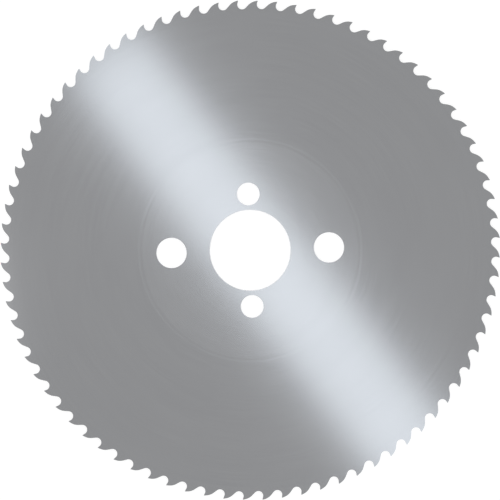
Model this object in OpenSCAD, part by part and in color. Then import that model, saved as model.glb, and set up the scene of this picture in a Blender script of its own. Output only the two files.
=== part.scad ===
// Slitting saw: a thin toothed steel disc with an arbor bore and two pairs of driving pin holes.
// It lies flat on its lower face with the bore's axis along Z. Seen from above, its teeth point clockwise.

/* [Blade] */
// Diameter over the tooth tips, mm
tip_diameter = 200; // [194:1:206]
// Thickness of the hub and of the toothed rim, mm
blade_thickness = 1.8; // [1.4:0.1:2.5]

/* [Teeth] */
// Number of teeth, which is even because deep and shallow gaps take turns
tooth_count = 80; // [76:2:84]
// Lean of the cutting face behind the radius through its tip, degrees
rake_angle = 14.5; // [12:0.5:18]
// Fall of the straight land behind the tip, degrees
clearance_angle = 14.5; // [12:0.5:16]
// Slope of the straight flank between the gullet and the round of the back, degrees
flank_angle = 47.5; // [45:0.5:49]
// Radius of the round between the flank and the land, mm
back_radius = 5.2; // [4:0.1:6]
// Radius at the bottom of every gullet, mm
gullet_radius = 1.9; // [1.75:0.05:2.05]
// Depth of the deep gullets below the tips, mm
gullet_depth = 3.6; // [3.4:0.05:3.8]
// How much less deep every second gap is cut, which leaves every second tooth a little lower, mm
gullet_step = 0.14; // [0.04:0.02:0.24]
// How far the shallow gaps lie ahead of an even spacing, mm
gap_shift = 0.1; // [0:0.02:0.2]
// Angle from the line through the large pin holes to the first tip, degrees
tip_phase = 0.8; // [0:0.1:4.4]

/* [Hub and web] */
// Diameter of the flat hub that the flanges clamp, mm
hub_diameter = 88; // [82:1:96]
// Width of the steep step from the hub's edge down to the web, mm
hub_step = 0.05; // [0.03:0.01:0.4]
// Depth of the hollow grind below the hub on each face, where the web is thinnest, mm
web_relief = 0.1; // [0.05:0.01:0.2]
// Width of the flat rim from the tips inwards, mm
rim_width = 5; // [4.5:0.1:8]

/* [Bore and pin holes] */
// Diameter of the arbor bore, mm
bore_diameter = 32; // [30:0.5:34]
// Diameter of the pins on the small circle, mm
small_pin_diameter = 8; // [6:0.5:8.5]
// Diameter of the circle through the small pins, mm
small_pin_circle = 45; // [45:0.5:48]
// Diameter of the pins on the large circle, mm
large_pin_diameter = 11; // [8:0.5:12]
// Diameter of the circle through the large pins, mm
large_pin_circle = 63; // [58:0.5:66]
// Play of a pin in its hole, across the diameter, mm
pin_play = 1; // [0.4:0.1:1.2]
// Width of the chamfers on the bore's edges, mm
bore_chamfer = 0.25; // [0.1:0.05:0.4]
// Width of the chamfers on the pin holes' edges, mm
hole_chamfer = 0.1; // [0.05:0.05:0.3]

/* [Hidden] */
tip_r = tip_diameter / 2;
hub_r = hub_diameter / 2;
bore_r = bore_diameter / 2;
rim_r = tip_r - rim_width;
pitch = 360 / tooth_count;
small_hole_r = (small_pin_diameter + pin_play) / 2;
large_hole_r = (large_pin_diameter + pin_play) / 2;

// How far the cutting shapes stand past the surfaces that they cut
past = 1.2;
// How far the disc is turned oversize before its teeth are cut
stock = 0.5;
// The arcs are this much oversize, so that each one crosses the straight it runs into
blend = 0.002;

// One tooth's frame has its tip on +Y, and +X is the way that the tip points
tip = [0, tip_r];
face_dir = [-sin(rake_angle), -cos(rake_angle)];
face_normal = [cos(rake_angle), -sin(rake_angle)];
land_dir = [-cos(clearance_angle), -sin(clearance_angle)];
land_normal = [sin(clearance_angle), -cos(clearance_angle)];
flank_dir = [-cos(flank_angle), -sin(flank_angle)];
flank_normal = [sin(flank_angle), -cos(flank_angle)];
// From a deep gap to the place of a shallow one
spread = [gap_shift, gullet_step];

// The point p moved some teeth onwards, the way that the tips point
function onward(p, teeth) =
    let (a = teeth * pitch)
    [p.x * cos(a) + p.y * sin(a), p.y * cos(a) - p.x * sin(a)];

// The gullet of a deep gap touches the cutting face in front of the tip
gullet_centre =
    let (start = tip + gullet_radius * face_normal,
         ring = tip_r - gullet_depth + gullet_radius,
         along = -start * face_dir)
    start + (along - sqrt(along * along - start * start + ring * ring)) * face_dir;

// The back of the next tooth, in that tooth's frame: the flank leaves the gullet at its foot,
// and the round between flank and land is laid out from the corner where they would meet
flank_foot = onward(gullet_centre, -1) + gullet_radius * flank_normal;
land_tip = tip - onward(spread, -1);
back_corner = land_tip + cross(flank_foot - land_tip, flank_dir) / cross(land_dir, flank_dir) * land_dir;
round_run = back_radius * tan((flank_angle - clearance_angle) / 2);
flank_head = back_corner + round_run * flank_dir;
land_foot = back_corner - round_run * land_dir;
back_centre = land_foot + back_radius * land_normal;

$fa = 2;
$fs = 0.4;

// The gap from the cutting face of one tooth to the back of the next, as deep as it comes
module gap() {
    land_end = land_tip - stock * land_dir;
    difference() {
        union() {
            polygon([
                tip - past * face_dir,
                gullet_centre - gullet_radius * face_normal,
                onward(flank_foot, 1),
                onward(flank_head, 1),
                onward(land_foot, 1),
                onward(land_end, 1),
                onward(land_end + [0, past], 1)
            ]);
            translate(gullet_centre) circle(r = gullet_radius + blend);
        }
        translate(onward(back_centre, 1)) circle(r = back_radius + blend);
    }
}

module toothed_outline() {
    difference() {
        circle(r = tip_r + stock);
        for (i = [0 : tooth_count - 1])
            rotate(tip_phase - 90 + i * pitch) translate(i % 2 * spread) gap();
    }
}

// Half of the section through the axis: chamfered bore, flat hub, hollow-ground web and flat rim
module section() {
    t = blade_thickness;
    polygon([
        [bore_r, bore_chamfer],
        [bore_r + bore_chamfer, 0],
        [hub_r, 0],
        [hub_r + hub_step, web_relief],
        [rim_r, 0],
        [tip_r + past, 0],
        [tip_r + past, t],
        [rim_r, t],
        [hub_r + hub_step, t - web_relief],
        [hub_r, t],
        [bore_r + bore_chamfer, t],
        [bore_r, t - bore_chamfer]
    ]);
}

// Through hole with both edges chamfered
module pin_hole(r) {
    t = blade_thickness;
    flare = r + hole_chamfer + past;
    rotate_extrude() polygon([
        [0, -past],
        [flare, -past],
        [r, hole_chamfer],
        [r, t - hole_chamfer],
        [flare, t + past],
        [0, t + past]
    ]);
}

module saw_blade() {
    color([0.60, 0.61, 0.63])
    difference() {
        intersection() {
            rotate_extrude() section();
            translate([0, 0, -past]) linear_extrude(height = blade_thickness + 2 * past) toothed_outline();
        }
        for (side = [-1, 1]) {
            translate([0, side * small_pin_circle / 2, 0]) pin_hole(small_hole_r);
            translate([side * large_pin_circle / 2, 0, 0]) pin_hole(large_hole_r);
        }
    }
}

saw_blade();
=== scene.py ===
import math

import bpy
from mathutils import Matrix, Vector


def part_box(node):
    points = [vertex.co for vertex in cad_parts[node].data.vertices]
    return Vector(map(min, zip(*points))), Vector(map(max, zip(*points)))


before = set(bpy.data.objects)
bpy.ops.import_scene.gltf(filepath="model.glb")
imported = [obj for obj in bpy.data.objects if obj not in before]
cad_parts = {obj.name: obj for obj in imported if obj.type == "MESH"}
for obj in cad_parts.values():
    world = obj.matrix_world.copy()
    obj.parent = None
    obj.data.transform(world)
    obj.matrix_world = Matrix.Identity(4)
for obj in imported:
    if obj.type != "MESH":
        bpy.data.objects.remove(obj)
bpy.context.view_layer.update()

scene = bpy.context.scene
scene.view_settings.view_transform = "Standard"
scene.view_settings.look = "None"

mm = 0.001
low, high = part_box("saw_blade")
tipRadius = high.x  # metres, the tips reach the box on both axes
thickness = high.z - low.z
print("blade", round(2 * tipRadius / mm, 2), "mm across,", round(thickness / mm, 2), "mm thick")


# A socket in one node tree: arithmetic on it adds Math nodes
class Value:
    def __init__(self, graph, socket):
        self.graph = graph
        self.socket = socket

    def math(self, operation, *values):
        return self.graph.add("ShaderNodeMath", {"operation": operation}, dict(enumerate(values)))

    def __add__(self, other):
        return self.math("ADD", self, other)

    def __radd__(self, other):
        return self.math("ADD", other, self)

    def __sub__(self, other):
        return self.math("SUBTRACT", self, other)

    def __rsub__(self, other):
        return self.math("SUBTRACT", other, self)

    def __mul__(self, other):
        return self.math("MULTIPLY", self, other)

    def __rmul__(self, other):
        return self.math("MULTIPLY", other, self)

    def __truediv__(self, other):
        return self.math("DIVIDE", self, other)

    def __rtruediv__(self, other):
        return self.math("DIVIDE", other, self)

    def __pow__(self, other):
        return self.math("POWER", self, other)


# One node tree, and the way any node is added to it
class Graph:
    def __init__(self, owner):
        owner.use_nodes = True
        self.tree = owner.node_tree
        self.tree.nodes.clear()

    def add(self, kind, settings=None, inputs=None, output=0):
        node = self.tree.nodes.new(kind)
        for name, value in (settings or {}).items():
            if name == "stops":
                self.setStops(node.color_ramp, value)
            else:
                setattr(node, name, value)
        for key, value in (inputs or {}).items():
            socket = node.inputs[key]
            if isinstance(value, Value):
                self.tree.links.new(value.socket, socket)
            elif socket.type == "RGBA":
                socket.default_value = (*value, 1.0)
            else:
                socket.default_value = value
        return Value(self, node.outputs[output]) if node.outputs else node

    def setStops(self, ramp, stops):
        while len(ramp.elements) < len(stops):
            ramp.elements.new(1.0)
        for element, (place, light) in zip(ramp.elements, stops):
            element.position = place
            element.color = (light, light, light, 1.0)

    def step(self, value, start, end):
        return self.add(
            "ShaderNodeMapRange",
            {"interpolation_type": "SMOOTHSTEP"},
            {"Value": value, "From Min": start, "From Max": end},
        )

    def between(self, value, start, full, fade, end):  # 0 outside start and end, 1 from full to fade
        return self.step(value, start, full) * self.step(value, end, fade)

    def vector(self, x, y, z):
        return self.add("ShaderNodeCombineXYZ", None, {"X": x, "Y": y, "Z": z})

    def parts(self, vector):
        node = self.add("ShaderNodeSeparateXYZ", None, {0: vector}).socket.node
        return [Value(self, socket) for socket in node.outputs]

    def scaled(self, vector, factor):
        return self.add("ShaderNodeVectorMath", {"operation": "SCALE"}, {0: vector, "Scale": factor})

    def noise(self, vector, scale, detail, roughness=0.5):
        return self.add(
            "ShaderNodeTexNoise",
            {"noise_dimensions": "3D", "normalize": True},
            {"Vector": vector, "Scale": scale, "Detail": detail, "Roughness": roughness},
        )

    def mix(self, factor, first, second):  # inputs 6 and 7 and output 2 are the node's colours
        return self.add(
            "ShaderNodeMix",
            {"data_type": "RGBA", "blend_type": "MIX"},
            {"Factor": factor, 6: first, 7: second},
            output=2,
        )


# Ground high speed steel: fine rings on the faces, strokes across the walls of the teeth and holes
groundSteel = {
    "colour": (0.573, 0.581, 0.598),
    "paleColour": (0.594, 0.602, 0.618),
    "wallColour": (0.42, 0.425, 0.435),
    # the chamfers are painted near white: a painted highlight on the edges
    "chamferHighlightColour": (0.95, 0.955, 0.96),  # chamfers
    "roughness": 0.201,
    "wallRoughness": 0.34,
    "edgeRoughness": 0.25,
    # square of the normal's upright part: 1 on a face, 0.5 on a chamfer, 0.2 on the hub's step, 0 on a wall
    "faceFrom": (0.6, 0.9),
    "edgeFrom": (0.25, 0.45),
    "stepWithin": (0.08, 0.14, 0.28, 0.36),
    # rings: quick changes along the radius, slow ones around it
    "ringPitch": 0.55,  # mm
    "ringTurns": 3.0,
    "ringDetail": 3.0,
    "ringGrain": 0.6,
    "ringHeight": 0.00012,  # mm
    "ringPolish": 0.03,
    "broadPitch": 8.3,  # mm
    "broadTurns": 1.5,
    "broadDetail": 2.0,
    "cloudSize": 28.5,  # mm
    "cloudDetail": 3.0,
    "cloudPolish": 0.02,
    "toneShares": (0.5, 0.3, 0.2),  # rings, broad rings, clouds
    "toneFrom": (0.35, 0.65),
    # strokes on the walls
    "strokeSize": (0.33, 0.33, 2.5),  # mm
    "strokeDetail": 3.0,
    "strokeHeight": 0.00048,  # mm
    "strokePolish": 0.12,
    # the hub is a little paler and rougher than the web, and the grind runs out softly at its edge; a
    # painted shade line just inside that edge and a painted highlight line just outside it stand in for the
    # light on the hub's step
    "hubRadius": 44.0,  # mm
    "hubLift": 0.036,
    "hubRougher": 0.012,
    "runOut": 1.25,  # mm on each side of the edge
    "runOutDepth": 0.002,  # mm
    # painted shade line, then painted highlight line, in mm from the hub's edge
    "paintedShadeWithin": (-1.25, -0.5, -0.4, 0.1),  # mm from the edge
    "paintedHighlightWithin": (-0.1, 0.4, 0.6, 1.25),
    # strength of the painted shade and highlight lines in the colour
    "paintedLineTone": 0.018,
    "edgePolish": 0.011,
}


def makeGroundSteel(look):
    material = bpy.data.materials.new("groundSteel")
    graph = Graph(material)
    place = graph.add("ShaderNodeTexCoord", output="Object")
    inMm = graph.scaled(place, 1 / mm)
    x, y, z = graph.parts(inMm)
    radius = (x * x + y * y) ** 0.5
    aroundX = x / radius
    aroundY = y / radius

    normal = graph.add("ShaderNodeNewGeometry", output="Normal")
    upright = graph.parts(normal)[2]
    slope = upright * upright
    hubStep = graph.between(slope, *look["stepWithin"])
    face = graph.step(slope, *look["faceFrom"]) + hubStep  # 1 on both faces, 0 on walls and chamfers
    edge = graph.step(slope, *look["edgeFrom"]) * (1.0 - face)  # 1 on the chamfers alone
    level = graph.vector(0.0, 0.0, upright.math("SIGN", upright))
    softNormal = graph.mix(hubStep, normal, level)  # the hub's tiny step shines like the faces beside it

    fromHub = radius - look["hubRadius"]
    reach = look["runOut"]
    hub = graph.step(fromHub, reach, -reach)
    groove = graph.between(fromHub, -reach, 0.0, 0.0, reach)
    # painted shade inside the hub's edge and painted highlight outside it; the same lines also change the
    # roughness
    hubShadeAndHighlight = graph.between(fromHub, *look["paintedHighlightWithin"]) - graph.between(fromHub, *look["paintedShadeWithin"])

    turns = look["ringTurns"]
    alongRings = graph.vector(radius / look["ringPitch"], turns * aroundX, turns * aroundY)
    rings = graph.noise(alongRings, 1.0, look["ringDetail"], look["ringGrain"])
    turns = look["broadTurns"]
    alongBroad = graph.vector(radius / look["broadPitch"], turns * aroundX, turns * aroundY)
    broad = graph.noise(alongBroad, 1.0, look["broadDetail"])
    cloud = graph.noise(inMm, 1 / look["cloudSize"], look["cloudDetail"])
    across, along, upward = look["strokeSize"]
    strokes = graph.noise(graph.vector(x / across, y / along, z / upward), 1.0, look["strokeDetail"])

    ringShare, broadShare, cloudShare = look["toneShares"]
    tone = graph.step(ringShare * rings + broadShare * broad + cloudShare * cloud, *look["toneFrom"])
    webColour = graph.mix(tone, look["colour"], look["paleColour"])
    # the face colour carries the painted shade and highlight lines at the hub's edge
    faceColour = graph.scaled(webColour, 1.0 + look["hubLift"] * hub + look["paintedLineTone"] * hubShadeAndHighlight)
    wallColour = graph.mix(strokes, look["wallColour"], look["colour"])
    # chamfers take the painted highlight colour
    sideColour = graph.mix(edge, wallColour, look["chamferHighlightColour"])
    colour = graph.mix(face, sideColour, faceColour)

    hubPolish = look["hubRougher"] * hub + look["edgePolish"] * hubShadeAndHighlight
    middle = 0.5  # of the noises, which run from 0 to 1
    grain = look["ringPolish"] * (rings - middle) + look["cloudPolish"] * (cloud - middle)
    faceRoughness = look["roughness"] + hubPolish + grain
    wallRoughness = look["wallRoughness"] + look["strokePolish"] * (strokes - middle)
    sideRoughness = wallRoughness + edge * (look["edgeRoughness"] - wallRoughness)
    roughness = sideRoughness + face * (faceRoughness - sideRoughness)

    faceHeight = look["ringHeight"] * rings - look["runOutDepth"] * groove
    wallHeight = look["strokeHeight"] * strokes
    height = wallHeight + face * (faceHeight - wallHeight)
    relief = graph.add(
        "ShaderNodeBump",
        None,
        {"Strength": 1.0, "Distance": mm, "Height": height, "Normal": softNormal},
    )
    shader = graph.add(
        "ShaderNodeBsdfPrincipled",
        None,
        {"Base Color": colour, "Metallic": 1.0, "Roughness": roughness, "Normal": relief},
    )
    graph.add("ShaderNodeOutputMaterial", None, {"Surface": shader})
    return material


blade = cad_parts["saw_blade"]
steel = makeGroundSteel(groundSteel)
for slot in blade.material_slots:
    slot.material = steel
print("blade dressed in ground steel")


# The pale table that the blade lies on, lit from below
table = {"size": 6.0, "colour": (0.35, 0.35, 0.35), "glow": 0.86, "glowColour": (1.0, 1.0, 1.0)}


def makeTable(look):
    half = look["size"] / 2
    corners = [(-half, -half, low.z), (half, -half, low.z), (half, half, low.z), (-half, half, low.z)]
    mesh = bpy.data.meshes.new("paleTable")
    mesh.from_pydata(corners, [], [(0, 1, 2, 3)])
    floor = bpy.data.objects.new("paleTable", mesh)
    scene.collection.objects.link(floor)
    material = bpy.data.materials.new("palePaint")
    graph = Graph(material)
    paint = graph.add(
        "ShaderNodeBsdfPrincipled",
        None,
        {
            "Base Color": look["colour"],
            "Roughness": 1.0,
            "Specular IOR Level": 0.0,
            "Emission Color": look["glowColour"],
            "Emission Strength": look["glow"],
        },
    )
    graph.add("ShaderNodeOutputMaterial", None, {"Surface": paint})
    mesh.materials.append(material)


makeTable(table)
print("table laid")


# Camera straight above, turned so that the pin holes lie as in the picture
camera = {
    "height": 1.0,  # m above the blade's upper face
    "sensor": 36.0,  # mm
    "turn": -2.0,  # degrees
    "offset": (0.10, -0.07),  # mm, from the picture's middle to the blade's
}


def makeCamera(view):
    data = bpy.data.cameras.new("overheadCamera")
    data.sensor_width = view["sensor"]
    data.lens = view["sensor"] / 2 * view["height"] / tipRadius  # the tips reach the picture's sides
    rig = bpy.data.objects.new("overheadCamera", data)
    scene.collection.objects.link(rig)
    turn = math.radians(view["turn"])
    across, along = (-part * mm for part in view["offset"])
    rig.location = (
        across * math.cos(turn) - along * math.sin(turn),
        across * math.sin(turn) + along * math.cos(turn),
        high.z + view["height"],
    )
    rig.rotation_euler = (0.0, 0.0, turn)
    scene.camera = rig


makeCamera(camera)
print("camera set overhead")


# Soft dome, dimmer overhead, with soft panels round its sides
dome = {
    "stops": [  # height above the horizon as a sine, and the light from there
        (0.00, 1.10),
        (0.08, 1.00),
        (0.22, 0.49),
        (0.60, 0.452),
        (1.00, 0.452),
    ],
    "panels": 8,
    "panelDepth": 0.5,
    "panelsWithin": (0.08, 0.25, 0.60, 0.85),  # the same height
}


def makeDome(look):
    world = bpy.data.worlds.new("softDome")
    graph = Graph(world)
    direction = graph.add("ShaderNodeTexCoord", output="Generated")
    x, y, lift = graph.parts(direction)
    light = graph.add("ShaderNodeValToRGB", {"stops": look["stops"]}, {0: lift})
    wave = look["panels"] * y.math("ARCTAN2", y, x)
    panels = wave.math("SINE", wave) * graph.between(lift, *look["panelsWithin"])
    panelled = graph.scaled(light, 1.0 + look["panelDepth"] * panels)
    sky = graph.add("ShaderNodeBackground", None, {"Color": panelled, "Strength": 1.0})
    graph.add("ShaderNodeOutputWorld", None, {"Surface": sky})
    scene.world = world


# Strip of light close above, whose reflection crosses the blade and fades at the blade's upper left
strip = {
    "name": "stripLight",
    "shape": "RECTANGLE",
    "height": 0.15,  # m
    "width": 0.0393,  # m
    "glow": 0.91,
    "colour": (0.934, 1.0, 1.066),
    "angle": 125.75,  # degrees from +X
    "aside": 0.00239,  # m
    "lamps": [  # start and end along the strip in m, and share of the glow
        (-0.35, 0.1075, 1.0),
        (0.1075, 0.35, 0.60),
    ],
}

# Dim round panel beyond the left rim, which lifts that rim a little
sidePanel = {
    "name": "sidePanel",
    "shape": "ELLIPSE",
    "height": 0.15,  # m
    "width": 0.12,  # m
    "glow": 0.18,
    "colour": (1.0, 1.0, 1.0),
    "angle": 90.0,  # degrees from +X
    "aside": -0.172,  # m
    "lamps": [(-0.10, 0.06, 1.0)],
}


def makeLamps(look):
    angle = math.radians(look["angle"])
    aside = look["aside"]
    for start, end, share in look["lamps"]:
        length = end - start
        along = (start + end) / 2
        data = bpy.data.lights.new(look["name"], "AREA")
        data.shape = look["shape"]
        data.size = length
        data.size_y = look["width"]
        data.color = look["colour"]
        data.energy = look["glow"] * share * math.pi * length * look["width"]
        lamp = bpy.data.objects.new(look["name"], data)
        scene.collection.objects.link(lamp)
        lamp.location = (
            along * math.cos(angle) + aside * math.sin(angle),
            along * math.sin(angle) - aside * math.cos(angle),
            high.z + look["height"],
        )
        lamp.rotation_euler = (0.0, 0.0, angle)
        lamp.visible_camera = False


makeDome(dome)
makeLamps(strip)
makeLamps(sidePanel)
print("lights set")
